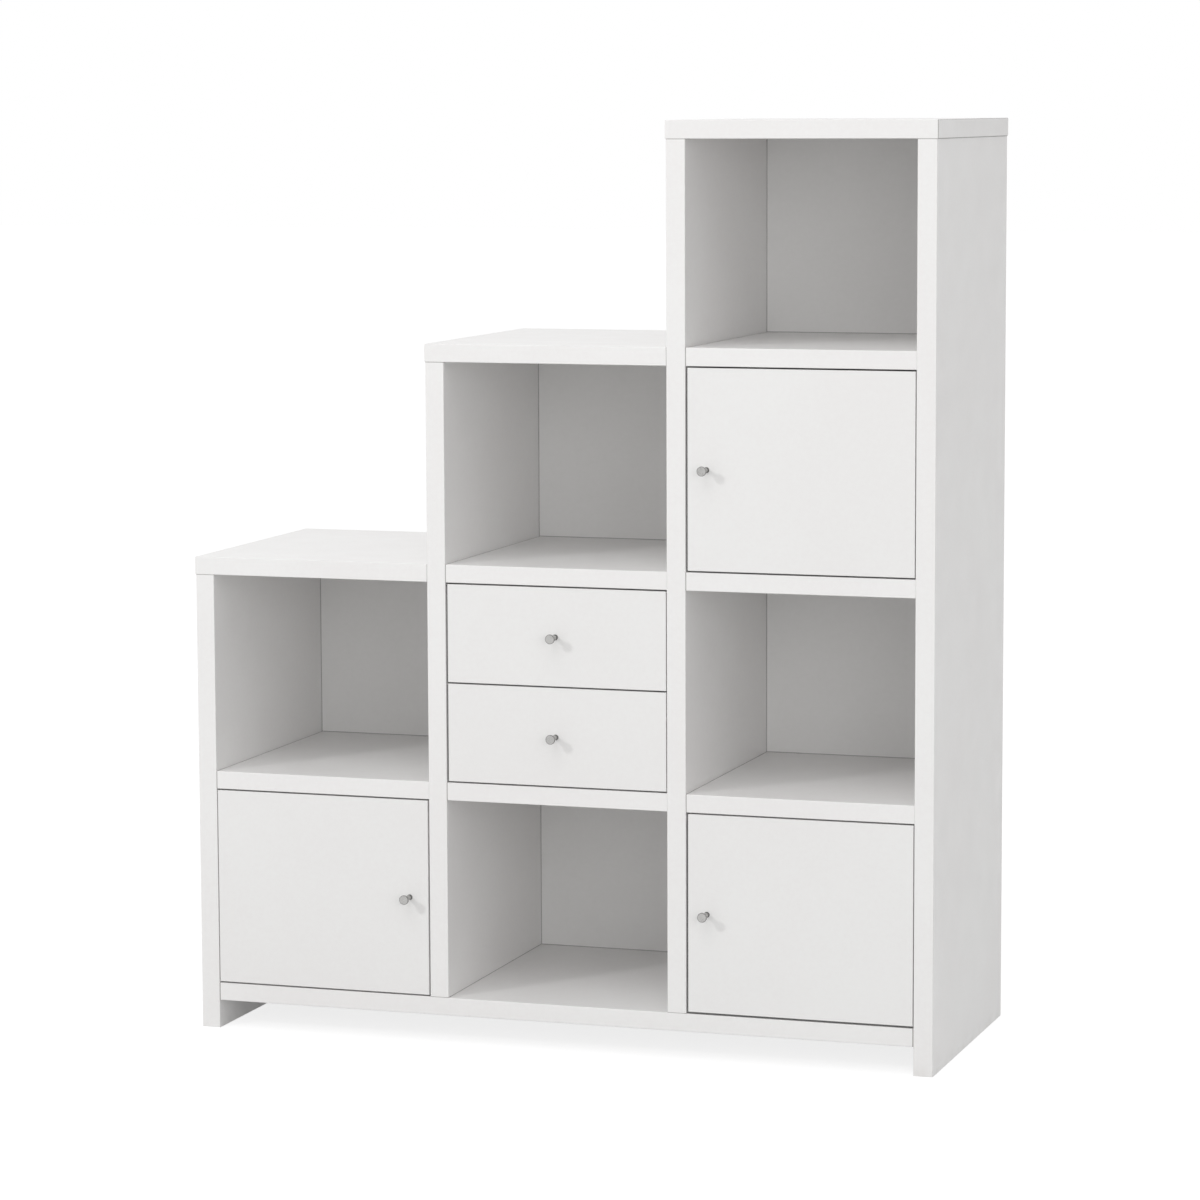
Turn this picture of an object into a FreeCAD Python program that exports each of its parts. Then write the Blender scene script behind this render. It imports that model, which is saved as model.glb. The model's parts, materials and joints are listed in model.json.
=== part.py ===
import FreeCAD, Part
import math
import os

# Stepped cube bookcase with three doors and two drawers, in millimetres.
# +Z is up and the front faces -Y. The origin lies on the floor, at the middle of the box that
# holds the closed bookcase, knobs included.

Vector = FreeCAD.Vector

# Carcass
opening_width = 360.0
opening_height = 314.0
carcass_depth = 460.0
upright_thickness = 30.0
board_thickness = 28.0
foot_height = 45.0
top_overhang = 1.5
edge_ease = 0.6

# Back panels, held in grooves
back_thickness = 3.0
back_recess = 12.0
back_tongue = 6.0
groove_clearance = 0.1

# Loose tongues that join the boards
tongue_thickness = 6.0
tongue_reach = 10.0
tongue_end_margin = 40.0
tongue_clearance = 0.1

# Doors and drawer fronts, inset flush with the carcass. The gap is narrow along the doors' hinge
# edges and the drawers' right edges.
front_gap = 2.5
narrow_gap = 1.5
front_thickness = 16.0

# Knobs
knob_projection = 27.0
knob_head_radius = 7.5
knob_head_thickness = 3.0
knob_neck_radius = 3.5
knob_edge_distance = 31.0

# Concealed cup hinges, two on each door
hinge_end_distance = 60.0
hinge_pin_inset = 14.0
hinge_pin_depth = 6.5
hinge_pin_radius = 1.2
pin_seat_length = 3.0
pin_seat_clearance = 0.02
pin_running_clearance = 0.05
hinge_swing_clearance = 0.5
edge_swing_clearance = 0.35
cup_radius = 17.5
cup_edge_distance = 3.0
cup_bore_clearance = 0.1
cup_floor = 0.7
cup_front_skin = 3.0
cup_slot_clearance = 0.4
cup_ear_thickness = 1.0
cup_ear_width = 12.0
cup_ear_reach = 29.0
arm_thickness = 1.6
arm_width = 7.0
arm_eye_radius = 2.2
arm_body_thickness = 3.6
arm_body_width = 12.0
plate_thickness = 1.2
plate_setback = 30.0
plate_length = 42.0
plate_bar_width = 16.0
plate_wing_length = 16.0
plate_wing_reach = 24.0

# Drawer boxes
drawer_length = 400.0
drawer_side_height = 110.0
drawer_side_thickness = 12.0
drawer_side_lift = 14.0
drawer_back_drop = 10.0
drawer_bottom_thickness = 4.0
drawer_bottom_lift = 10.0
drawer_bottom_tongue = 6.0

# Roller slides, a pair for each drawer
slide_space = 12.5
rail_metal = 1.2
rail_front_setback = 4.0
rail_flange_width = 10.2
rail_flange_lift = 10.0
rail_lip_clearance = 1.0
drawer_rail_flange_edge = 3.5
drawer_rail_leg = 10.0
roller_radius = 8.0
roller_width = 6.0
roller_offset = 2.4
roller_track_clearance = 0.3
roller_front_setback = 12.0
roller_rear_setback = 12.0
rail_stop_clearance = 0.5
axle_radius = 2.0
axle_running_clearance = 0.05
axle_end_margin = 0.6

# Places that follow from the sizes above
overall_width = 4 * upright_thickness + 3 * opening_width
front_y = (knob_projection - carcass_depth) / 2
rear_y = front_y + carcass_depth
back_y = rear_y - back_recess - back_thickness
front_back_y = front_y + front_thickness

nodes = {}


def upright_x(index):
    """Left face of an upright, counted from the left."""
    return index * (opening_width + upright_thickness) - overall_width / 2


def opening_x(column):
    """Left face of a column's opening."""
    return upright_x(column) + upright_thickness


def level_z(level):
    """Upper face of the board at a level, where level 0 is the bottom panel."""
    return foot_height + board_thickness + level * (opening_height + board_thickness)


def under_z(level):
    """Under face of the board at a level."""
    return level_z(level) - board_thickness


def box(low, high):
    """Box between two corners."""
    size = [b - a for a, b in zip(low, high)]
    return Part.makeBox(size[0], size[1], size[2], Vector(*low))


def grown_box(low, high, margin):
    """Box between two corners, larger all round by a margin."""
    return box([a - margin for a in low], [b + margin for b in high])


def rod(radius, start, end):
    """Round rod between two points."""
    direction = end - start
    return Part.makeCylinder(radius, direction.Length, start, direction)


def prism(points, direction):
    """Solid swept along a vector from a flat closed outline of straight runs."""
    return Part.Face(Part.makePolygon(points + points[:1])).extrude(direction)


def eased_prism(low, high, axis):
    """Box whose four edges along one axis are eased by a small flat."""
    first, second = [i for i in range(3) if i != axis]
    a0, a1 = low[first], high[first]
    b0, b1 = low[second], high[second]
    outline = [
        (a0 + edge_ease, b0), (a1 - edge_ease, b0), (a1, b0 + edge_ease), (a1, b1 - edge_ease),
        (a1 - edge_ease, b1), (a0 + edge_ease, b1), (a0, b1 - edge_ease), (a0, b0 + edge_ease),
    ]
    points = []
    for a, b in outline:
        place = [0.0, 0.0, 0.0]
        place[axis] = low[axis]
        place[first] = a
        place[second] = b
        points.append(Vector(*place))
    direction = [0.0, 0.0, 0.0]
    direction[axis] = high[axis] - low[axis]
    return prism(points, Vector(*direction))


def eased_panel(low, high, axes):
    """Box eased along every edge that runs along one of the given axes."""
    panel = eased_prism(low, high, axes[0])
    for axis in axes[1:]:
        panel = panel.common(eased_prism(low, high, axis))
    return panel


def shelf_board(low, high):
    """Board along x whose two front edges are eased."""
    outline = [
        (low[1] + edge_ease, low[2]), (high[1], low[2]), (high[1], high[2]),
        (low[1] + edge_ease, high[2]), (low[1], high[2] - edge_ease), (low[1], low[2] + edge_ease),
    ]
    return prism([Vector(low[0], y, z) for y, z in outline], Vector(high[0] - low[0], 0, 0))


def add_carcass_boards():
    """Uprights, bottom, tops and shelves, each still without grooves."""
    uprights = {
        "left_side": (0, 0.0, under_z(2)),
        "low_divider": (1, level_z(0), under_z(3)),
        "high_divider": (2, level_z(0), under_z(4)),
        "right_side": (3, 0.0, under_z(4)),
    }
    for name, (index, bottom, top) in uprights.items():
        x = upright_x(index)
        low = (x, front_y, bottom)
        high = (x + upright_thickness, rear_y, top)
        nodes[name] = [eased_panel(low, high, (2,))]
    low = (opening_x(0), front_y, under_z(0))
    high = (upright_x(3), rear_y, level_z(0))
    nodes["bottom_panel"] = [eased_panel(low, high, (0,))]
    right_end = upright_x(3) + upright_thickness + top_overhang
    tops = {
        "low_top": (0, 2, upright_x(1)),
        "middle_top": (1, 3, upright_x(2)),
        "high_top": (2, 4, right_end),
    }
    for name, (column, level, end) in tops.items():
        low = (upright_x(column) - top_overhang, front_y, under_z(level))
        high = (end, rear_y, level_z(level))
        nodes[name] = [eased_panel(low, high, (0, 1))]
    shelves = {
        "left_shelf": (0, 1),
        "middle_lower_shelf": (1, 1),
        "middle_upper_shelf": (1, 2),
        "right_lower_shelf": (2, 1),
        "right_middle_shelf": (2, 2),
        "right_upper_shelf": (2, 3),
    }
    for name, (column, level) in shelves.items():
        low = (opening_x(column), front_y, under_z(level))
        high = (upright_x(column + 1), back_y, level_z(level))
        nodes[name] = [shelf_board(low, high)]


def cut_node(name, tool):
    """Take a tool's shape away from a node of one solid."""
    nodes[name] = [nodes[name][0].cut(tool)]


def add_back_panels():
    """Thin back panels, and the grooves that hold them."""
    backs = {
        "left_back": (0, 2, ("left_side", "low_divider", "bottom_panel", "low_top")),
        "middle_back": (1, 3, ("low_divider", "high_divider", "bottom_panel", "middle_top")),
        "right_back": (2, 4, ("high_divider", "right_side", "bottom_panel", "high_top")),
    }
    for name, (column, level, neighbours) in backs.items():
        low = (opening_x(column) - back_tongue, back_y, level_z(0) - back_tongue)
        high = (upright_x(column + 1) + back_tongue, back_y + back_thickness, under_z(level) + back_tongue)
        nodes[name] = [box(low, high)]
        for neighbour in neighbours:
            cut_node(neighbour, grown_box(low, high, groove_clearance))


def add_joint_tongues():
    """Loose tongues along the middle of each board joint, with a groove in both boards."""
    # A board's end against an upright: board, upright, joint's x, board's level
    end_joints = [
        ("bottom_panel", "left_side", opening_x(0), 0),
        ("bottom_panel", "right_side", upright_x(3), 0),
        ("left_shelf", "left_side", opening_x(0), 1),
        ("left_shelf", "low_divider", upright_x(1), 1),
        ("middle_lower_shelf", "low_divider", opening_x(1), 1),
        ("middle_lower_shelf", "high_divider", upright_x(2), 1),
        ("right_lower_shelf", "high_divider", opening_x(2), 1),
        ("right_lower_shelf", "right_side", upright_x(3), 1),
        ("low_top", "low_divider", upright_x(1), 2),
        ("middle_upper_shelf", "low_divider", opening_x(1), 2),
        ("middle_upper_shelf", "high_divider", upright_x(2), 2),
        ("right_middle_shelf", "high_divider", opening_x(2), 2),
        ("right_middle_shelf", "right_side", upright_x(3), 2),
        ("middle_top", "high_divider", upright_x(2), 3),
        ("right_upper_shelf", "high_divider", opening_x(2), 3),
        ("right_upper_shelf", "right_side", upright_x(3), 3),
    ]
    # An upright's end against a board: upright, board, upright's index, joint's z
    standing_joints = [
        ("low_divider", "bottom_panel", 1, level_z(0)),
        ("high_divider", "bottom_panel", 2, level_z(0)),
        ("left_side", "low_top", 0, under_z(2)),
        ("low_divider", "middle_top", 1, under_z(3)),
        ("high_divider", "high_top", 2, under_z(4)),
        ("right_side", "high_top", 3, under_z(4)),
    ]
    tongue_y = (front_y + tongue_end_margin, back_y - tongue_end_margin)
    half = tongue_thickness / 2
    places = []
    for first, second, x, level in end_joints:
        z = level_z(level) - board_thickness / 2
        low = (x - tongue_reach, tongue_y[0], z - half)
        high = (x + tongue_reach, tongue_y[1], z + half)
        places.append((first, second, low, high))
    for first, second, index, z in standing_joints:
        x = upright_x(index) + upright_thickness / 2
        low = (x - half, tongue_y[0], z - tongue_reach)
        high = (x + half, tongue_y[1], z + tongue_reach)
        places.append((first, second, low, high))
    nodes["joint_tongues"] = []
    for first, second, low, high in places:
        nodes["joint_tongues"].append(box(low, high))
        groove = grown_box(low, high, tongue_clearance)
        cut_node(first, groove)
        cut_node(second, groove)


def knob_solid(x, z):
    """Turned knob: a slim neck and a flat disc head."""
    head_out = knob_projection - knob_head_thickness
    profile = [
        (0.0, 0.0), (knob_neck_radius, 0.0), (knob_neck_radius, head_out), (knob_head_radius, head_out),
        (knob_head_radius, knob_projection), (0.0, knob_projection), (0.0, 0.0),
    ]
    outline = Part.makePolygon([Vector(x + radius, front_y - out, z) for radius, out in profile])
    return Part.Face(outline).revolve(Vector(x, front_y, z), Vector(0, 1, 0), 360)


# Hinge geometry in the door's own plan: u runs from the hinge edge, v from the front face back.
# The pin is the plan's origin in the arm's outline.
swing_reach = hinge_pin_inset + narrow_gap - edge_swing_clearance
swing_sum = hinge_pin_inset + hinge_pin_depth - swing_reach
swing_rest = hinge_pin_inset ** 2 + hinge_pin_depth ** 2 - swing_reach ** 2
hinge_corner_radius = max(edge_ease, swing_sum - math.sqrt(max(0.0, swing_sum ** 2 - swing_rest)))
cup_u = cup_edge_distance + cup_radius
edge_sweep = math.hypot(hinge_pin_inset, front_thickness - hinge_pin_depth)
arm_inner_radius = edge_sweep + hinge_swing_clearance
arm_outer_radius = arm_inner_radius + arm_thickness
eye_corner = arm_eye_radius / math.cos(math.pi / 8)
slot_half = arm_width / 2 + cup_slot_clearance
fold = math.tan(math.pi / 8)


def door_panel(width, height):
    """Door standing in its own plan, with the hinge edge's front corner rounded to swing past the upright."""
    radius = hinge_corner_radius
    slant = radius * (1 - math.sqrt(0.5))
    start = Vector(0, radius, 0)
    middle = Vector(slant, slant, 0)
    end = Vector(radius, 0, 0)
    corners = [
        end, Vector(width - edge_ease, 0, 0), Vector(width, edge_ease, 0),
        Vector(width, front_thickness - edge_ease, 0), Vector(width - edge_ease, front_thickness, 0),
        Vector(edge_ease, front_thickness, 0), Vector(0, front_thickness - edge_ease, 0), start,
    ]
    outline = Part.Wire([Part.Arc(start, middle, end).toShape()] + Part.makePolygon(corners).Edges)
    panel = Part.Face(outline).extrude(Vector(0, 0, height))
    return panel.common(eased_prism((0, 0, 0), (width, front_thickness, height), 0))


def hinge_cup(z):
    """Moulded cup in the door's back: two screw ears, a slot for the arm and a seat each side for the pin."""
    floor = Vector(cup_u, cup_front_skin, z)
    back = Vector(cup_u, front_thickness, z)
    cup = rod(cup_radius - cup_bore_clearance, floor, back)
    ear_back = front_thickness + cup_ear_thickness
    ear_low = (cup_u - cup_ear_width / 2, front_thickness, z - cup_ear_reach)
    ear_high = (cup_u + cup_ear_width / 2, ear_back, z + cup_ear_reach)
    cup = cup.fuse(box(ear_low, ear_high))
    arm_corner = math.hypot(arm_outer_radius, arm_thickness / 2)
    slot_start = hinge_pin_inset - eye_corner - hinge_swing_clearance
    slot_end = hinge_pin_inset + arm_corner + hinge_swing_clearance
    slot_low = (slot_start, cup_front_skin + cup_floor, z - slot_half)
    slot_high = (slot_end, ear_back, z + slot_half)
    cup = cup.cut(box(slot_low, slot_high))
    seat_half = hinge_pin_radius + pin_seat_clearance
    pin_end = slot_half + pin_seat_length
    seat_low = (hinge_pin_inset - seat_half, cup_front_skin, z - pin_end)
    seat_high = (hinge_pin_inset + seat_half, hinge_pin_depth + seat_half, z + pin_end)
    return cup.cut(box(seat_low, seat_high)).removeSplitter()


def hinge_pin(z):
    """Pin across the cup's slot, with its ends in the two seats."""
    half = slot_half + pin_seat_length
    axis = Vector(hinge_pin_inset, hinge_pin_depth, 0)
    return rod(hinge_pin_radius, axis + Vector(0, 0, z - half), axis + Vector(0, 0, z + half))


def hinge_arm(z):
    """Folded swan-neck arm: from its eye along the cup, round the door's edge and back along the upright."""
    pin = Vector(hinge_pin_inset, hinge_pin_depth, z - arm_width / 2)
    across = Vector(0, 0, arm_width)
    half = arm_thickness / 2
    inner = arm_inner_radius
    outer = arm_outer_radius
    near_u = plate_thickness - narrow_gap - hinge_pin_inset
    far_u = near_u + arm_thickness
    run_end = front_thickness + plate_setback + plate_length - hinge_pin_depth
    outline = [
        (0.0, -half), (outer, -half), (outer, outer * fold), (outer * fold, outer), (far_u, outer),
        (far_u, run_end), (near_u, run_end), (near_u, inner), (inner * fold, inner), (inner, inner * fold),
        (inner, half), (0.0, half),
    ]
    strip = prism([pin + Vector(u, v, 0) for u, v in outline], across)
    corners = [(i + 0.5) * math.pi / 4 for i in range(8)]
    eye = prism([pin + Vector(math.cos(a), math.sin(a), 0) * eye_corner for a in corners], across)
    body_low = (plate_thickness - narrow_gap, front_thickness + plate_setback, z - arm_body_width / 2)
    body_high = (body_low[0] + arm_body_thickness, body_low[1] + plate_length, z + arm_body_width / 2)
    body = box(body_low, body_high)
    bore = rod(hinge_pin_radius + pin_running_clearance, pin, pin + across)
    return strip.fuse([eye, body]).cut(bore).removeSplitter()


def hinge_plate(z):
    """Winged mounting plate on the upright, under the arm's body."""
    front = front_thickness + plate_setback
    wing = front + (plate_length - plate_wing_length) / 2
    bar_low = (-narrow_gap, front, z - plate_bar_width / 2)
    bar_high = (plate_thickness - narrow_gap, front + plate_length, z + plate_bar_width / 2)
    wing_low = (-narrow_gap, wing, z - plate_wing_reach)
    wing_high = (plate_thickness - narrow_gap, wing + plate_wing_length, z + plate_wing_reach)
    return box(bar_low, bar_high).fuse(box(wing_low, wing_high)).removeSplitter()


def add_door(name, column, level, hinge_on_left):
    """One door with its cups, pins and knob, and the arms and plates that carry it."""
    width = opening_width - front_gap - narrow_gap
    height = opening_height - 2 * front_gap
    bottom = level_z(level) + front_gap
    hinge_x = opening_x(column) + narrow_gap
    knob_x = hinge_x + width - knob_edge_distance
    if not hinge_on_left:
        hinge_x = upright_x(column + 1) - narrow_gap
        knob_x = hinge_x - width + knob_edge_distance

    def placed(shape):
        if not hinge_on_left:
            shape = shape.mirror(Vector(0, 0, 0), Vector(1, 0, 0))
        shape.translate(Vector(hinge_x, front_y, bottom))
        return shape

    panel = door_panel(width, height)
    heights = (hinge_end_distance, height - hinge_end_distance)
    for z in heights:
        floor = Vector(cup_u, cup_front_skin, z)
        panel = panel.cut(rod(cup_radius, floor, Vector(cup_u, front_thickness, z)))
    nodes[name] = [placed(panel)]
    nodes[name + "_hinge_cups"] = [placed(hinge_cup(z)) for z in heights]
    nodes[name + "_hinge_pins"] = [placed(hinge_pin(z)) for z in heights]
    nodes.setdefault("hinge_arms", []).extend(placed(hinge_arm(z)) for z in heights)
    nodes.setdefault("hinge_plates", []).extend(placed(hinge_plate(z)) for z in heights)
    nodes[name + "_knob"] = [knob_solid(knob_x, bottom + height / 2)]


def add_drawer(name, bottom, height):
    """One drawer box with its front, knob, slide rails and rollers."""
    left = opening_x(1)
    right = upright_x(2)
    front_low = (left + front_gap, front_y, bottom)
    front_high = (right - narrow_gap, front_back_y, bottom + height)
    nodes[name + "_front"] = [eased_panel(front_low, front_high, (0, 2))]
    nodes[name + "_knob"] = [knob_solid((left + right) / 2, bottom + height / 2)]

    side_z = bottom + drawer_side_lift
    box_rear = front_back_y + drawer_length
    outer_left = left + slide_space
    outer_right = right - slide_space
    inner_left = outer_left + drawer_side_thickness
    inner_right = outer_right - drawer_side_thickness
    top = side_z + drawer_side_height
    spans = {"_left_side": (outer_left, inner_left), "_right_side": (inner_right, outer_right)}
    for suffix, (x0, x1) in spans.items():
        nodes[name + suffix] = [box((x0, front_back_y, side_z), (x1, box_rear, top))]

    floor_z = side_z + drawer_bottom_lift
    floor_low = (inner_left - drawer_bottom_tongue, front_back_y - drawer_bottom_tongue, floor_z)
    floor_high = (inner_right + drawer_bottom_tongue, box_rear, floor_z + drawer_bottom_thickness)
    nodes[name + "_bottom"] = [box(floor_low, floor_high)]
    groove = grown_box(floor_low, floor_high, groove_clearance)
    for suffix in ("_left_side", "_right_side", "_front"):
        cut_node(name + suffix, groove)
    back_low = (inner_left, box_rear - drawer_side_thickness, floor_high[2])
    back_high = (inner_right, box_rear, top - drawer_back_drop)
    nodes[name + "_back"] = [box(back_low, back_high)]
    add_slides(name, side_z, left, right)


def add_slides(name, side_z, left, right):
    """Both slides of a drawer: the right one mirrors the left one."""
    flange_z = side_z + rail_flange_lift
    axle_z = flange_z - roller_track_clearance - roller_radius
    rail_front = front_back_y + rail_front_setback
    front_axle_y = rail_front + roller_front_setback
    drawer_rear = front_back_y + drawer_length
    rear_axle_y = drawer_rear - roller_rear_setback
    stop_y = drawer_rear + rail_stop_clearance
    roller_end = roller_offset + roller_width

    def roller(y):
        start = Vector(roller_offset, y, axle_z)
        end = Vector(roller_end, y, axle_z)
        return rod(roller_radius, start, end).cut(rod(axle_radius + axle_running_clearance, start, end))

    # The cabinet rail is a channel with a closed rear end, and carries the front roller
    track_z = axle_z - roller_radius - roller_track_clearance
    lip_z = flange_z + rail_metal + rail_lip_clearance
    channel = [
        (0.0, track_z - rail_metal), (rail_flange_width, track_z - rail_metal), (rail_flange_width, track_z),
        (rail_metal, track_z), (rail_metal, lip_z), (rail_flange_width, lip_z),
        (rail_flange_width, lip_z + rail_metal), (0.0, lip_z + rail_metal),
    ]
    points = [Vector(x, rail_front, z) for x, z in channel]
    cabinet_rail = prism(points, Vector(0, stop_y + rail_metal - rail_front, 0))
    stop_low = (0.0, stop_y, track_z - rail_metal)
    stop_high = (rail_flange_width, stop_y + rail_metal, lip_z + rail_metal)
    front_root = Vector(rail_metal / 2, front_axle_y, axle_z)
    front_axle = rod(axle_radius, front_root, Vector(roller_end + axle_end_margin, front_axle_y, axle_z))
    cabinet_rail = cabinet_rail.fuse([box(stop_low, stop_high), front_axle]).removeSplitter()

    # The drawer rail wraps the side's lower edge, rides on the front roller and carries the rear one
    web = slide_space - rail_metal
    section = [
        (slide_space + drawer_rail_leg, side_z - rail_metal), (web, side_z - rail_metal), (web, flange_z),
        (drawer_rail_flange_edge, flange_z), (drawer_rail_flange_edge, flange_z + rail_metal),
        (slide_space, flange_z + rail_metal), (slide_space, side_z), (slide_space + drawer_rail_leg, side_z),
    ]
    points = [Vector(x, front_back_y, z) for x, z in section]
    drawer_rail = prism(points, Vector(0, drawer_length, 0))
    rear_root = Vector(web + rail_metal / 2, rear_axle_y, axle_z)
    rear_axle = rod(axle_radius, rear_root, Vector(roller_offset - axle_end_margin, rear_axle_y, axle_z))
    drawer_rail = drawer_rail.fuse(rear_axle).removeSplitter()

    def both_sides(shape):
        """A slide piece against the left upright, and its mirror image against the right one."""
        mirrored = shape.mirror(Vector(0, 0, 0), Vector(1, 0, 0))
        mirrored.translate(Vector(right, 0, 0))
        shape.translate(Vector(left, 0, 0))
        return [shape, mirrored]

    left_rail, right_rail = both_sides(cabinet_rail)
    nodes.setdefault("left_cabinet_rails", []).append(left_rail)
    nodes.setdefault("right_cabinet_rails", []).append(right_rail)
    nodes[name + "_rails"] = both_sides(drawer_rail)
    nodes[name + "_front_rollers"] = both_sides(roller(front_axle_y))
    nodes[name + "_rear_rollers"] = both_sides(roller(rear_axle_y))


add_carcass_boards()
add_back_panels()
add_joint_tongues()
add_door("left_door", 0, 0, True)
add_door("upper_right_door", 2, 2, False)
add_door("lower_right_door", 2, 0, False)
drawer_height = (opening_height - 3 * front_gap) / 2
lower_drawer_z = level_z(1) + front_gap
add_drawer("lower_drawer", lower_drawer_z, drawer_height)
add_drawer("upper_drawer", lower_drawer_z + drawer_height + front_gap, drawer_height)

os.makedirs("parts", exist_ok=True)
for node_name, solids in nodes.items():
    shape = solids[0] if len(solids) == 1 else Part.makeCompound(solids)
    shape.exportStep("parts/" + node_name + ".step")
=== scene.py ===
import json
import math

import bmesh
import bpy
import numpy as np
from mathutils import Matrix, Vector


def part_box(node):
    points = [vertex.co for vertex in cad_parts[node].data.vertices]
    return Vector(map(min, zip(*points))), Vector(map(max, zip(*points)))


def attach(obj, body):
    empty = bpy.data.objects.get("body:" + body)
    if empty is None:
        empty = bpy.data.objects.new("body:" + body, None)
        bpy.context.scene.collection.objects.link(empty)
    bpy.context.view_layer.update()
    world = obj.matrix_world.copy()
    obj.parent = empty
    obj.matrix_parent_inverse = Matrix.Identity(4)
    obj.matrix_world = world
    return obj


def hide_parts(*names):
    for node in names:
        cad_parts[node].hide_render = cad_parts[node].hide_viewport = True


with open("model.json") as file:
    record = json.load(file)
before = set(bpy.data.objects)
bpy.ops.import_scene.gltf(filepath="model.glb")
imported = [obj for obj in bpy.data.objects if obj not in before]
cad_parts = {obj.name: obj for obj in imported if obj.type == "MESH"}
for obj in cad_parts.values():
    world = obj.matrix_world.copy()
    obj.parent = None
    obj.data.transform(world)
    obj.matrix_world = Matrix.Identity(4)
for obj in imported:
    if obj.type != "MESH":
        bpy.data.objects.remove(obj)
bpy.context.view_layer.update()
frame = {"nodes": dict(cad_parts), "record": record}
nodes = frame["nodes"]
scene = bpy.context.scene

doors = ("left_door", "upper_right_door", "lower_right_door")
drawers = ("lower_drawer", "upper_drawer")
shelves = ("left_shelf", "middle_lower_shelf", "middle_upper_shelf",
           "right_lower_shelf", "right_middle_shelf", "right_upper_shelf")

# Places that come from the bookcase itself, in metres
front_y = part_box("left_side")[0].y
left_inner_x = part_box("left_side")[1].x
right_inner_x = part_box("right_side")[0].x
bottom_top_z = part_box("bottom_panel")[1].z
first_shelf_low, first_shelf_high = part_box("left_shelf")
cell_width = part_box("low_divider")[0].x - left_inner_x
cell_pitch_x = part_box("high_divider")[0].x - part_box("low_divider")[0].x
cell_height = first_shelf_low.z - bottom_top_z
cell_pitch_z = first_shelf_high.z - bottom_top_z
back_low, back_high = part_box("left_back")
back_middle_y = (back_low.y + back_high.y) / 2
plate_low, plate_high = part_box("hinge_plates")
plate_middle_y = (plate_low.y + plate_high.y) / 2
knob_low, knob_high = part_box("left_door_knob")
knob_radius = (knob_high.x - knob_low.x) / 2

# Sizes of the knobs
knob_head_thickness = 0.003
knob_head_ease = 0.0005
knob_flare = 0.0018
knob_neck_radius = 0.0035
knob_foot_radius = 0.0045
knob_foot_height = 0.0011
knob_foot_ease = 0.0005
knob_foot_cove = 0.0006

# Sizes of the hinges, and how far their screws are from their middles
ear_reach = 0.029
ear_screw_reach = 0.0238
plate_thickness = 0.0012
plate_screw_reach = 0.017
arm_top = plate_thickness + 0.0036
arm_screw_reach = 0.0145

# Radius and height of each kind of screw head
knob_screw = (0.0042, 0.0022)
ear_screw = (0.0034, 0.0009)
plate_screw = (0.0035, 0.0012)
arm_screw = (0.0032, 0.0010)

# How deep a knob's foot or a screw head is sunk into its seat
seat_depth = 0.0003


# Surfaces

def patches_to_mesh(name, patches, body, finish, sharp_deg=35.0):
    """A mesh from point grids that are closed round. Rows of a grid run along the profile and columns
    run round the axis; each face joins two neighbours on a row with the same two on the next row.
    Two attributes keep each point's length along the profile and its distance from the axis."""
    points, faces, lengths, radii = [], [], [], []
    first = 0
    for grid in patches:
        rows, columns = grid.shape[:2]
        index = first + np.arange(rows * columns).reshape(rows, columns)
        beside = np.roll(index, -1, axis=1)
        faces.append(np.stack([index[:-1], beside[:-1], beside[1:], index[1:]], axis=-1).reshape(-1, 4))
        step = np.linalg.norm(np.diff(grid[:, 0], axis=0), axis=1)
        lengths.append(np.repeat(np.concatenate([[0.0], np.cumsum(step)]), columns))
        radii.append(np.linalg.norm(grid - grid.mean(axis=1, keepdims=True), axis=2).ravel())
        points.append(grid.reshape(-1, 3))
        first += rows * columns
    mesh = bpy.data.meshes.new(name)
    mesh.from_pydata(np.concatenate(points).tolist(), [], np.concatenate(faces).tolist())
    for label, values in (("along_profile", lengths), ("from_axis", radii)):
        attribute = mesh.attributes.new(label, "FLOAT", "POINT")
        attribute.data.foreach_set("value", np.concatenate(values).astype(np.float32))
    work = bmesh.new()
    work.from_mesh(mesh)
    bmesh.ops.remove_doubles(work, verts=work.verts, dist=1e-6)
    bmesh.ops.recalc_face_normals(work, faces=work.faces)
    work.to_mesh(mesh)
    work.free()
    mesh.shade_smooth()
    mesh.set_sharp_from_angle(angle=math.radians(sharp_deg))
    mesh.materials.append(finish)
    piece = bpy.data.objects.new(name, mesh)
    scene.collection.objects.link(piece)
    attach(piece, body)
    return piece


def arc(centre, radius, start_deg, end_deg, count=7):
    """Profile points on a circle: centre + radius (cos a, sin a), with a going evenly from start to end."""
    angle = np.radians(np.linspace(start_deg, end_deg, count))
    return np.stack([centre[0] + radius * np.cos(angle), centre[1] + radius * np.sin(angle)], axis=1)


def once_round(columns):
    """The even angles of one turn, as a row."""
    return np.linspace(0.0, 2.0 * np.pi, columns, endpoint=False)[None]


def round_axis(base, axis, heights, radii, angle):
    """A grid of points: base + height along the axis + radius (cos a up + sin a (axis x up))."""
    along = np.array(axis, float)
    up = np.array([0.0, 0.0, 1.0])
    ring = np.cos(angle)[..., None] * up + np.sin(angle)[..., None] * np.cross(along, up)
    return np.array(base) + heights[..., None] * along + radii[..., None] * ring


def turned(profile, base, axis, columns=64):
    """A profile of (radius, height) points that is the same at every angle round the axis."""
    return round_axis(base, axis, profile[:, 1:], profile[:, :1], once_round(columns))


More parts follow.
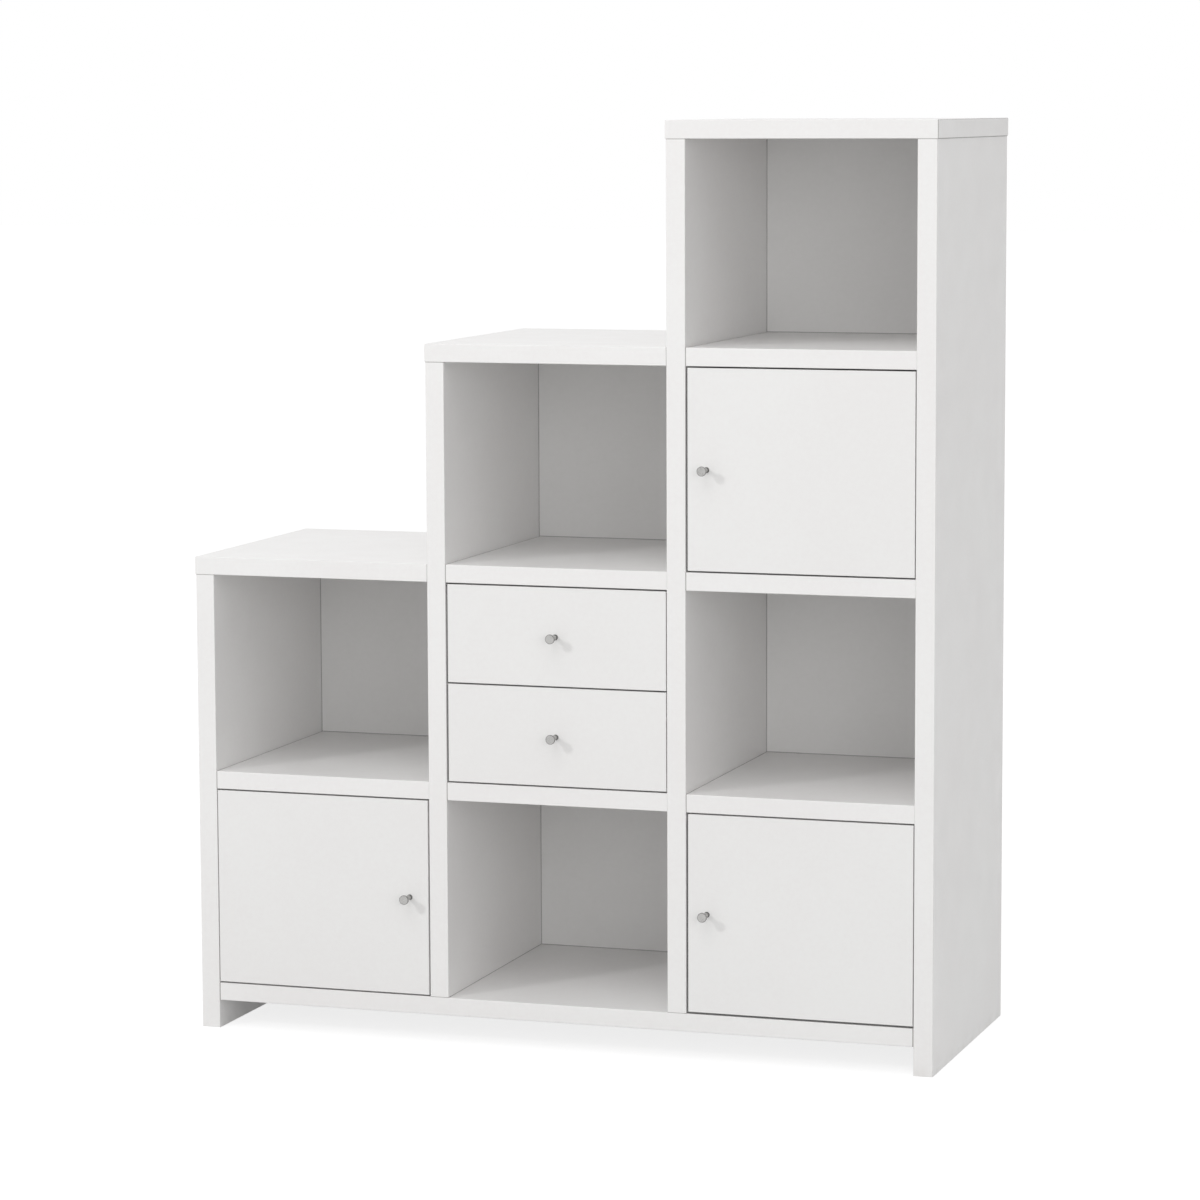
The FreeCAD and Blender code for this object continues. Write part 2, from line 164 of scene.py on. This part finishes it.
def knob_profile(reach, head_radius):
    """A slim foot, a straight neck with a hollow flare, and a flat disc head with eased rims. Each curve
    is a quarter circle, and straight lines join them."""
    head_back = reach - knob_head_thickness
    rim = head_radius - knob_head_ease
    foot_rim = knob_foot_radius - knob_foot_ease
    cove_rim = knob_neck_radius + knob_foot_cove
    flare_rim = knob_neck_radius + knob_flare
    face_rings = (0.9, 0.86, 0.82, 0.6, 0.3, 0.0)
    return np.concatenate([
        [(0.0, -seat_depth), (knob_foot_radius, -seat_depth)],
        arc((foot_rim, knob_foot_height - knob_foot_ease), knob_foot_ease, 0, 90),
        arc((cove_rim, knob_foot_height + knob_foot_cove), knob_foot_cove, -90, -180),
        arc((flare_rim, head_back - knob_flare), knob_flare, 180, 90),
        arc((rim, head_back + knob_head_ease), knob_head_ease, -90, 0),
        arc((rim, reach - knob_head_ease), knob_head_ease, 0, 90),
        [(head_radius * share, reach) for share in face_rings],
    ])


def cross_screw(base, axis, size, rows=16, columns=40):
    """A domed screw head. With s the share of the radius, it is height (1 - drop s^4) high, less a cross
    recess where the distance from the nearer arm's middle line and s are both small. The last two rows
    go straight down to the seat and back to the axis."""
    radius, height = size
    drop = 0.75
    recess_share = 0.65
    arm_half_width, arm_slope = 0.15, 0.05
    arm_length, arm_end_slope = 0.62, 0.08
    share = np.linspace(0.0, 1.0, rows)[:, None]
    angle = once_round(columns)
    off_arm = np.minimum(np.abs(np.cos(angle)), np.abs(np.sin(angle))) * share
    across_arm = np.clip((arm_half_width - off_arm) / arm_slope, 0.0, 1.0)
    along_arm = np.clip((arm_length - share) / arm_end_slope, 0.0, 1.0)
    dome = height * (1.0 - drop * share ** 4) - recess_share * height * across_arm * along_arm
    seat = np.full((2, columns), -seat_depth)
    radii = np.concatenate([share, [[1.0], [0.0]]]) * radius
    return round_axis(base, axis, np.concatenate([dome, seat]), radii, angle)


# Shader helpers

def feed(tree, socket, value):
    """Links a socket to the one that feeds it, or sets its value."""
    if isinstance(value, bpy.types.NodeSocket):
        tree.links.new(value, socket)
    else:
        socket.default_value = value


def put(tree, kind, inputs=None, **settings):
    """One shader node: settings are its options, inputs are values or the sockets that feed it."""
    node = tree.nodes.new(kind)
    for name, value in settings.items():
        setattr(node, name, value)
    for name, value in (inputs or {}).items():
        feed(tree, node.inputs[name], value)
    return node


def new_group(name, inputs, outputs):
    """An empty shader group with plain number sockets, and its input and output nodes."""
    group = bpy.data.node_groups.new(name, "ShaderNodeTree")
    for label, value in inputs.items():
        socket = group.interface.new_socket(label, in_out="INPUT", socket_type="NodeSocketFloat")
        socket.default_value = value
    for label in outputs:
        group.interface.new_socket(label, in_out="OUTPUT", socket_type="NodeSocketFloat")
    return group, group.nodes.new("NodeGroupInput").outputs, group.nodes.new("NodeGroupOutput").inputs


def maths(tree, operation, first, second=0.5, third=0.5):
    """The output of one Math node."""
    return put(tree, "ShaderNodeMath", {0: first, 1: second, 2: third}, operation=operation).outputs[0]


def weigh(tree, first, second, share):
    """A sum in which the first value has the given share and the second has the rest."""
    return maths(tree, "MULTIPLY_ADD", first, share, maths(tree, "MULTIPLY", second, 1.0 - share))


def ramp(tree, value, low, high, to_low=0.0, to_high=1.0, course="SMOOTHSTEP"):
    """A value brought from low and high to two new ends, with a smooth or a LINEAR course between."""
    return put(tree, "ShaderNodeMapRange", {"Value": value, "From Min": low, "From Max": high,
                                            "To Min": to_low, "To Max": to_high},
               interpolation_type=course).outputs[0]


def noise(tree, vector, scale, detail=2.0, roughness=0.5):
    """The grey value of a noise texture."""
    return put(tree, "ShaderNodeTexNoise", {"Vector": vector, "Scale": scale, "Detail": detail,
                                            "Roughness": roughness}).outputs[0]


def blend_colour(tree, share, first, second):
    """Colour mixed from first to second."""
    return put(tree, "ShaderNodeMix", {0: share, 6: first, 7: second}, data_type="RGBA").outputs[2]


def object_place(tree):
    """The point on the surface, whole and as its X, Y and Z."""
    at = put(tree, "ShaderNodeTexCoord").outputs["Object"]
    return at, put(tree, "ShaderNodeSeparateXYZ", {0: at}).outputs


# Levels between which most of a noise lies
noise_low = 0.3
noise_high = 0.7


# Shared surface effects

def make_foil_skin():
    """Melamine foil: faint clouds in the tone and gloss, and a fine pebbled press texture."""
    fleck_scale, slow_scale = 160.0, 22.0
    fleck_share, slow_share = 0.35, 0.3
    tone_low, tone_high = 0.32, 0.68
    group, given, result = new_group(
        "foil_skin",
        {"Cloud Scale": 3.0, "Pebble Scale": 900.0, "Gloss Low": 0.36, "Gloss High": 0.48},
        ("Tone", "Roughness", "Height"))
    at = put(group, "ShaderNodeTexCoord").outputs["Object"]
    cloud = noise(group, at, given["Cloud Scale"], detail=4.0, roughness=0.6)
    fleck = noise(group, at, fleck_scale)
    pebble = noise(group, at, given["Pebble Scale"])
    slow = noise(group, at, slow_scale, detail=3.0)
    tone = ramp(group, weigh(group, fleck, cloud, fleck_share), tone_low, tone_high)
    gloss = ramp(group, slow, noise_low, noise_high, given["Gloss Low"], given["Gloss High"], "LINEAR")
    group.links.new(tone, result["Tone"])
    group.links.new(gloss, result["Roughness"])
    group.links.new(maths(group, "MULTIPLY_ADD", slow, slow_share, pebble), result["Height"])
    return group


def make_edge_tape():
    """The thin seam where the front edge tape meets the board's face."""
    group, given, result = new_group("edge_tape", {"Front": front_y, "Set Back": 0.0012, "Width": 0.0005},
                                     ("Seam",))
    place = object_place(group)[1]
    seam = maths(group, "ADD", given["Front"], given["Set Back"])
    away = maths(group, "ABSOLUTE", maths(group, "SUBTRACT", place["Y"], seam))
    group.links.new(ramp(group, away, 0.0, given["Width"], 1.0, 0.0), result["Seam"])
    return group


def make_floor_wear():
    """Scuffs that fade out above the floor, broken up by noise."""
    patch_low, patch_high = 0.42, 0.7
    group, given, result = new_group("floor_wear", {"Reach": 0.025, "Patch Scale": 40.0}, ("Wear",))
    at, place = object_place(group)
    fade = ramp(group, place["Z"], 0.0, given["Reach"], 1.0, 0.0)
    rubbed = noise(group, at, given["Patch Scale"], detail=4.0, roughness=0.65)
    patch = ramp(group, rubbed, patch_low, patch_high)
    group.links.new(maths(group, "MULTIPLY", fade, patch), result["Wear"])
    return group


def make_painted_corner_shade():
    """Painted shade: the dark line round each opening where the inner face of the back sheet enters its
    groove.
    """
    group, given, result = new_group(
        "painted_corner_shade",
        {"Start X": left_inner_x, "Pitch X": cell_pitch_x, "Open X": cell_width,
         "Start Z": bottom_top_z, "Pitch Z": cell_pitch_z, "Open Z": cell_height,
         "Width": 0.002, "Sheet Middle": back_middle_y},
        ("Line",))
    place = object_place(group)[1]
    edges = []
    for side in ("X", "Z"):
        into = maths(group, "SUBTRACT", place[side], given["Start " + side])
        within = maths(group, "FLOORED_MODULO", into, given["Pitch " + side])
        to_far = maths(group, "ABSOLUTE", maths(group, "SUBTRACT", given["Open " + side], within))
        edges.append(maths(group, "MINIMUM", within, to_far))
    nearest = maths(group, "MINIMUM", *edges)
    line = ramp(group, nearest, 0.0, given["Width"], 1.0, 0.0)
    inner_face = maths(group, "LESS_THAN", place["Y"], given["Sheet Middle"])
    group.links.new(maths(group, "MULTIPLY", line, inner_face), result["Line"])
    return group


def make_end_shade_line():
    """A thin dark line of painted shade on a board's faces beside the chosen ends, where it meets another
    board or a gap.
    An end that is not chosen lies far away, and a face that lies in the end itself stays clean."""
    far = 9.0
    end_skin = 0.00003
    group, given, result = new_group(
        "end_shade_line",
        {"Low X": -far, "High X": far, "Low Z": -far, "High Z": far, "Width": 0.0012, "Behind": far},
        ("Line",))
    place = object_place(group)[1]
    nearest = far
    for side in ("X", "Z"):
        from_low = maths(group, "SUBTRACT", place[side], given["Low " + side])
        from_high = maths(group, "SUBTRACT", given["High " + side], place[side])
        nearest = maths(group, "MINIMUM", nearest, maths(group, "MINIMUM", from_low, from_high))
    half_width = maths(group, "MULTIPLY", given["Width"], 0.5)
    line = ramp(group, nearest, half_width, given["Width"], 1.0, 0.0)
    off_end = maths(group, "GREATER_THAN", nearest, end_skin)
    before = maths(group, "LESS_THAN", place["Y"], given["Behind"])
    shown = maths(group, "MULTIPLY", off_end, before)
    group.links.new(maths(group, "MULTIPLY", line, shown), result["Line"])
    return group


def make_satin_metal():
    """Plated metal: soft stains, fine rubbed specks and a slight ripple."""
    speck_share = 0.3
    group, given, result = new_group(
        "satin_metal",
        {"Stain Scale": 60.0, "Speck Scale": 1400.0, "Gloss Low": 0.24, "Gloss High": 0.38},
        ("Tone", "Roughness", "Height"))
    at = put(group, "ShaderNodeTexCoord").outputs["Object"]
    stain = noise(group, at, given["Stain Scale"], detail=3.0, roughness=0.6)
    speck = noise(group, at, given["Speck Scale"])
    tone = ramp(group, weigh(group, speck, stain, speck_share), noise_low, noise_high)
    gloss = ramp(group, stain, noise_low, noise_high, given["Gloss Low"], given["Gloss High"], "LINEAR")
    group.links.new(tone, result["Tone"])
    group.links.new(gloss, result["Roughness"])
    group.links.new(speck, result["Height"])
    return group


foil_skin = make_foil_skin()
edge_tape = make_edge_tape()
floor_wear = make_floor_wear()
painted_corner_shade = make_painted_corner_shade()
end_shade_line = make_end_shade_line()
satin_metal = make_satin_metal()


# Materials

def new_finish(name, metallic=0.0):
    """A material with a bare Principled shader, and its node tree."""
    finish = bpy.data.materials.new(name)
    finish.use_nodes = True
    tree = finish.node_tree
    shader = tree.nodes["Principled BSDF"]
    shader.inputs["Metallic"].default_value = metallic
    return finish, tree, shader


def effect(tree, group, values=None):
    """The outputs of a shared effect, used with its own values."""
    return put(tree, "ShaderNodeGroup", values, node_tree=group).outputs


def add_mark(tree, colour, mask, strength, tint):
    """Colour that turns towards a tint where the mask shows."""
    return blend_colour(tree, maths(tree, "MULTIPLY", mask, strength), colour, tint)


def dress(tree, shader, colour, roughness, height, strength, distance):
    """Feeds the shader's colour and roughness, and its normal from a height."""
    bump = put(tree, "ShaderNodeBump", {"Height": height, "Strength": strength, "Distance": distance})
    feed(tree, shader.inputs["Base Color"], colour)
    feed(tree, shader.inputs["Roughness"], roughness)
    feed(tree, shader.inputs["Normal"], bump.outputs[0])


def make_foil(name, pale, deep, gloss, marks=()):
    """White melamine board. A mark is a shared effect with its mask, its values, a strength and a tint."""
    finish, tree, shader = new_finish(name)
    skin = effect(tree, foil_skin, {"Gloss Low": gloss[0], "Gloss High": gloss[1]})
    colour = blend_colour(tree, skin["Tone"], deep, pale)
    for group, mask, values, strength, tint in marks:
        colour = add_mark(tree, colour, effect(tree, group, values)[mask], strength, tint)
    dress(tree, shader, colour, skin["Roughness"], skin["Height"], strength=0.12, distance=0.0003)
    return finish


def make_plated(name, pale, deep, gloss, stain_scale):
    """Nickel or zinc plated steel."""
    finish, tree, shader = new_finish(name, metallic=1.0)
    skin = effect(tree, satin_metal, {"Gloss Low": gloss[0], "Gloss High": gloss[1],
                                      "Stain Scale": stain_scale})
    colour = blend_colour(tree, skin["Tone"], deep, pale)
    dress(tree, shader, colour, skin["Roughness"], skin["Height"], strength=0.06, distance=0.0002)
    return finish


def make_turned_nickel(name, pale, deep, gloss, stain_scale):
    """Knob metal: plated, with fine turning marks that follow the profile. Painted shade darkens the edge of
    the head, and a painted shadow darkens the neck where it meets the front."""
    marks_per_metre = 4000.0
    marks_share, marks_roughness = 0.4, 0.08
    # Painted shade round the edge of the head
    rim_shade_from, rim_shade_to = knob_radius - 0.0013, knob_radius - 0.0005
    rim_shade_strength, rim_shade_tint = 0.7, (0.15, 0.148, 0.143, 1.0)
    # Painted contact shadow on the neck next to the front
    neck_shadow_from, neck_shadow_to = front_y - 0.008, front_y - 0.001
    neck_shadow_strength, neck_shadow_tint = 0.75, (0.05, 0.049, 0.046, 1.0)
    finish, tree, shader = new_finish(name, metallic=1.0)
    skin = effect(tree, satin_metal, {"Gloss Low": gloss[0], "Gloss High": gloss[1],
                                      "Stain Scale": stain_scale})
    along_profile = put(tree, "ShaderNodeAttribute", attribute_name="along_profile").outputs["Fac"]
    from_axis = put(tree, "ShaderNodeAttribute", attribute_name="from_axis").outputs["Fac"]
    place = object_place(tree)[1]
    marks = put(tree, "ShaderNodeTexNoise", {"W": maths(tree, "MULTIPLY", along_profile, marks_per_metre),
                                             "Scale": 1.0, "Detail": 2.0}, noise_dimensions="1D").outputs[0]
    colour = blend_colour(tree, weigh(tree, marks, skin["Tone"], marks_share), deep, pale)
    # Painted shade: the edge of the head is darker
    edge = ramp(tree, from_axis, rim_shade_from, rim_shade_to)
    colour = add_mark(tree, colour, edge, rim_shade_strength, rim_shade_tint)
    # Painted shadow: the neck is darker near the front
    neck_shadow = ramp(tree, place["Y"], neck_shadow_from, neck_shadow_to)
    colour = add_mark(tree, colour, neck_shadow, neck_shadow_strength, neck_shadow_tint)
    roughness = maths(tree, "MULTIPLY_ADD", marks, marks_roughness, skin["Roughness"])
    dress(tree, shader, colour, roughness, marks, strength=0.05, distance=0.0001)
    return finish


def make_moulded(name, pale, deep, gloss):
    """Epoxy paint or moulded nylon: even colour with an orange-peel skin."""
    finish, tree, shader = new_finish(name)
    skin = effect(tree, foil_skin, {"Cloud Scale": 12.0, "Pebble Scale": 420.0,
                                    "Gloss Low": gloss[0], "Gloss High": gloss[1]})
    colour = blend_colour(tree, skin["Tone"], deep, pale)
    dress(tree, shader, colour, skin["Roughness"], skin["Height"], strength=0.2, distance=0.0004)
    return finish


def make_raw_wood(name, pale, deep, roughness):
    """Raw hardwood: grain that is stretched along the depth."""
    grain_scale = (220.0, 9.0, 220.0)
    finish, tree, shader = new_finish(name)
    at = put(tree, "ShaderNodeTexCoord").outputs["Object"]
    drawn = put(tree, "ShaderNodeMapping", {"Vector": at, "Scale": grain_scale}).outputs[0]
    grain = noise(tree, drawn, 1.0, detail=5.0, roughness=0.6)
    colour = blend_colour(tree, ramp(tree, grain, noise_low, noise_high), deep, pale)
    dress(tree, shader, colour, roughness, grain, strength=0.25, distance=0.0004)
    return finish


def shade_line_at_ends(node, ends, strength, tint, **more):
    """The mark of a thin line of painted shade along a board's chosen ends."""
    low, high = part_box(node)
    places = {"Low X": low.x, "High X": high.x, "Low Z": low.z, "High Z": high.z}
    return end_shade_line, "Line", {end: places[end] for end in ends} | more, strength, tint


# Each finish's pale and deep tone, and how rough it is at least and at most
carcass_look = ((0.865, 0.860, 0.852, 1.0), (0.842, 0.828, 0.822, 1.0), (0.36, 0.48))
front_look = ((0.845, 0.841, 0.833, 1.0), (0.826, 0.815, 0.808, 1.0), (0.32, 0.44))
back_look = ((0.89, 0.885, 0.878, 1.0), (0.865, 0.86, 0.851, 1.0), (0.46, 0.6))
drawer_look = ((0.84, 0.83, 0.815, 1.0), (0.80, 0.79, 0.77, 1.0), (0.42, 0.55))
tongue_look = ((0.66, 0.48, 0.3, 1.0), (0.42, 0.27, 0.15, 1.0), 0.72)
hinge_look = ((0.66, 0.65, 0.63, 1.0), (0.5, 0.49, 0.47, 1.0), (0.22, 0.38))
screw_look = ((0.62, 0.62, 0.61, 1.0), (0.45, 0.45, 0.45, 1.0), (0.26, 0.42))
knob_look = ((0.52, 0.515, 0.505, 1.0), (0.36, 0.357, 0.35, 1.0), (0.18, 0.3))
rail_look = ((0.84, 0.835, 0.82, 1.0), (0.8, 0.795, 0.78, 1.0), (0.31, 0.43))
roller_look = ((0.8, 0.79, 0.76, 1.0), (0.74, 0.73, 0.7, 1.0), (0.37, 0.49))

tape_seam = (edge_tape, "Seam", None, 0.45, (0.42, 0.41, 0.39, 1.0))
foot_scuffs = (floor_wear, "Wear", None, 0.3, (0.62, 0.6, 0.57, 1.0))
# Painted shade in the corners round each opening of the back sheets
groove_shade_line = (painted_corner_shade, "Line", None, 0.75, (0.16, 0.15, 0.14, 1.0))
# Painted shade lines at the carcass joints and in the gaps beside the fronts
joint_shade_strength = 0.85
joint_shade_tint = (0.2, 0.19, 0.18, 1.0)
gap_shade_strength = 0.95
gap_shade_tint = (0.05, 0.05, 0.05, 1.0)

finishes = {
    "front_board": make_foil("front_foil", *front_look),
    # The back sheets carry the painted shade line round each opening
    "back_board": make_foil("back_sheet_foil", *back_look, [groove_shade_line]),
    "drawer_board": make_foil("drawer_foil", *drawer_look),
    "tongue_wood": make_raw_wood("tongue_raw_wood", *tongue_look),
    "hinge_nickel": make_plated("hinge_plated_nickel", *hinge_look, stain_scale=60.0),
    "rail_white": make_moulded("rail_epoxy", *rail_look),
    "roller_white": make_moulded("roller_nylon", *roller_look),
    "knob_nickel": make_turned_nickel("knob_turned_nickel", *knob_look, stain_scale=90.0),
}
screw_finish = make_plated("screw_zinc", *screw_look, stain_scale=200.0)

# Carcass boards, with the width of the painted shade line at their joints and the ends that show it
joints = {
    "left_side": (0.0010, "High Z"), "right_side": (0.0010, "High Z"),
    "low_divider": (0.0010, "Low Z", "High Z"), "high_divider": (0.0010, "Low Z", "High Z"),
    "bottom_panel": (0.0020, "Low X", "High X"), "low_top": (0.0007, "High X"),
    "middle_top": (0.0007, "High X"), "high_top": (0.0014, "High X"),
} | {shelf: (0.0016, "Low X") for shelf in shelves}
for node, (width, *ends) in joints.items():
    joint = shade_line_at_ends(node, ends, joint_shade_strength, joint_shade_tint, Width=width)
    finishes[node] = make_foil(node + "_foil", *carcass_look, [tape_seam, foot_scuffs, joint])

# Fronts, with the edges along which the gap looks widest, where a painted shade line darkens the front face
gap_edges = {
    "upper_right_door": ("Low X",), "lower_right_door": ("Low X", "Low Z"),
    "lower_drawer_front": ("Low X",), "upper_drawer_front": ("Low X",),
}
gap_shade_width = 0.0016
gap_shade_end_y = front_y + 0.001
for node, ends in gap_edges.items():
    edge = shade_line_at_ends(node, ends, gap_shade_strength, gap_shade_tint, Width=gap_shade_width, Behind=gap_shade_end_y)
    finishes[node] = make_foil(node + "_foil", *front_look, [edge])

# Each node takes its own finish, or else the one that the record names
for part in frame["record"]["subparts"]:
    for place in nodes[part["node"]].material_slots:
        place.material = finishes.get(part["node"]) or finishes[part["material_slot"]]


# Turned knobs in place of the plain ones
for owner in doors + drawers:
    node = owner + "_knob"
    low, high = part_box(node)
    middle = (low + high) / 2
    profile = knob_profile(high.y - low.y, (high.x - low.x) / 2)
    grid = turned(profile, (middle.x, high.y, middle.z), (0, -1, 0))
    knob = patches_to_mesh(owner + "_turned_knob", [grid], owner, finishes["knob_nickel"])
    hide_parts(node)


# Screw heads behind the knobs, on the hinge cups' ears, and on the hinge plates and arms

def knob_screw_head(owner, panel):
    """The screw behind a knob, on the back of the panel that carries the knob."""
    low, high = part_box(owner + "_knob")
    place = ((low.x + high.x) / 2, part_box(panel)[1].y, (low.z + high.z) / 2)
    return cross_screw(place, (0, 1, 0), knob_screw)


plate_heads = []
for owner in doors:
    heads = [knob_screw_head(owner, owner)]
    cup_low, cup_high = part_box(owner + "_hinge_cups")
    cup_x = (cup_low.x + cup_high.x) / 2
    wall_x, inward = (left_inner_x, 1.0) if owner == "left_door" else (right_inner_x, -1.0)
    for hinge_z in (cup_low.z + ear_reach, cup_high.z - ear_reach):
        for side in (-1, 1):
            on_ear = (cup_x, cup_high.y, hinge_z + side * ear_screw_reach)
            on_plate = (wall_x + inward * plate_thickness, plate_middle_y, hinge_z + side * plate_screw_reach)
            on_arm = (wall_x + inward * arm_top, plate_middle_y + side * arm_screw_reach, hinge_z)
            heads.append(cross_screw(on_ear, (0, 1, 0), ear_screw))
            plate_heads.append(cross_screw(on_plate, (inward, 0, 0), plate_screw))
            plate_heads.append(cross_screw(on_arm, (inward, 0, 0), arm_screw))
    patches_to_mesh(owner + "_screws", heads, owner, screw_finish)
for owner in drawers:
    heads = [knob_screw_head(owner, owner + "_front")]
    patches_to_mesh(owner + "_screws", heads, owner, screw_finish)
patches_to_mesh("hinge_plate_screws", plate_heads, "carcass", screw_finish)


# Camera at the photograph's viewing angle
camera_place = (2.0932, -6.3142, 1.4695)
camera_turn_deg = 18.331
camera_down_deg = 6.741
camera_roll_deg = -0.223
camera_data = bpy.data.cameras.new("photo_camera")
camera_data.sensor_width = 36.0
camera_data.lens = 126.6
camera_data.clip_end = 200.0
camera = bpy.data.objects.new("photo_camera", camera_data)
scene.collection.objects.link(camera)
camera.matrix_world = (
    Matrix.Translation(camera_place)
    @ Matrix.Rotation(math.radians(camera_turn_deg), 4, "Z")
    @ Matrix.Rotation(math.radians(90.0 - camera_down_deg), 4, "X")
    @ Matrix.Rotation(math.radians(camera_roll_deg), 4, "Z")
)
scene.camera = camera


# Floor and room
white = (1.0, 1.0, 1.0, 1.0)
floor_reach = 40.0
floor_bounce_tone = (0.5, 0.5, 0.497, 1.0)
floor_shown_tone = (0.3, 0.3, 0.3, 1.0)
floor_glow = 0.8
room_light = 0.76
backdrop_light = 1.0


def seen_directly(tree):
    """One for rays from the camera, a mirror or glass, and nought for the light that falls on things."""
    ray = put(tree, "ShaderNodeLightPath").outputs
    shown = maths(tree, "MAXIMUM", ray["Is Camera Ray"], ray["Is Glossy Ray"])
    return maths(tree, "MAXIMUM", shown, ray["Is Transmission Ray"])


def make_floor_paint():
    """A matt floor that throws back half the light, and looks near white except for the shadow on it."""
    finish, tree, shader = new_finish("studio_floor_paint")
    tree.nodes.remove(shader)
    shown = seen_directly(tree)
    paint = blend_colour(tree, shown, floor_bounce_tone, floor_shown_tone)
    matt = put(tree, "ShaderNodeBsdfDiffuse", {"Color": paint})
    glow = put(tree, "ShaderNodeEmission", {"Color": white,
                                            "Strength": maths(tree, "MULTIPLY", shown, floor_glow)})
    both = put(tree, "ShaderNodeAddShader", {0: matt.outputs[0], 1: glow.outputs[0]})
    tree.links.new(both.outputs[0], tree.nodes["Material Output"].inputs["Surface"])
    return finish


def make_room():
    """An even room that lights the bookcase, with a white backdrop where it is seen."""
    world = bpy.data.worlds.new("studio_room")
    world.use_nodes = True
    tree = world.node_tree
    tree.nodes.remove(tree.nodes["Background"])
    room = put(tree, "ShaderNodeBackground", {"Color": white, "Strength": room_light})
    backdrop = put(tree, "ShaderNodeBackground", {"Color": white, "Strength": backdrop_light})
    choice = put(tree, "ShaderNodeMixShader", {0: seen_directly(tree), 1: room.outputs[0],
                                               2: backdrop.outputs[0]})
    tree.links.new(choice.outputs[0], tree.nodes["World Output"].inputs["Surface"])
    return world


floor_corners = [(x * floor_reach, y * floor_reach, 0) for x, y in ((-1, -1), (1, -1), (1, 1), (-1, 1))]
floor_mesh = bpy.data.meshes.new("studio_floor")
floor_mesh.from_pydata(floor_corners, [], [(0, 1, 2, 3)])
floor_mesh.materials.append(make_floor_paint())
floor = bpy.data.objects.new("studio_floor", floor_mesh)
scene.collection.objects.link(floor)
scene.world = make_room()


# Each soft lamp's angle to the right of the front, angle above the floor, share of full white and width
lamps = {
    "overhead_lamp": (0.0, 50.0, 0.16, 4.0),
    "left_lamp": (-36.0, 24.0, 0.18, 0.6),
    "right_lamp": (34.0, 8.0, 0.13, 3.0),
}
lamp_distance = 6.0
lamp_target = Vector((0.0, 0.0, 0.7))
for name, (aside, above, share, width) in lamps.items():
    lamp_data = bpy.data.lights.new(name, "AREA")
    lamp_data.shape = "DISK"
    lamp_data.size = width
    lamp_data.energy = share * math.pi ** 2 * lamp_distance ** 2
    turn = math.radians(aside)
    rise = math.radians(above)
    towards = Vector((math.sin(turn) * math.cos(rise), -math.cos(turn) * math.cos(rise), math.sin(rise)))
    lamp = bpy.data.objects.new(name, lamp_data)
    lamp.location = lamp_target + towards * lamp_distance
    lamp.rotation_mode = "QUATERNION"
    lamp.rotation_quaternion = (-towards).to_track_quat("-Z", "Y")
    scene.collection.objects.link(lamp)

scene.view_settings.view_transform = "Standard"
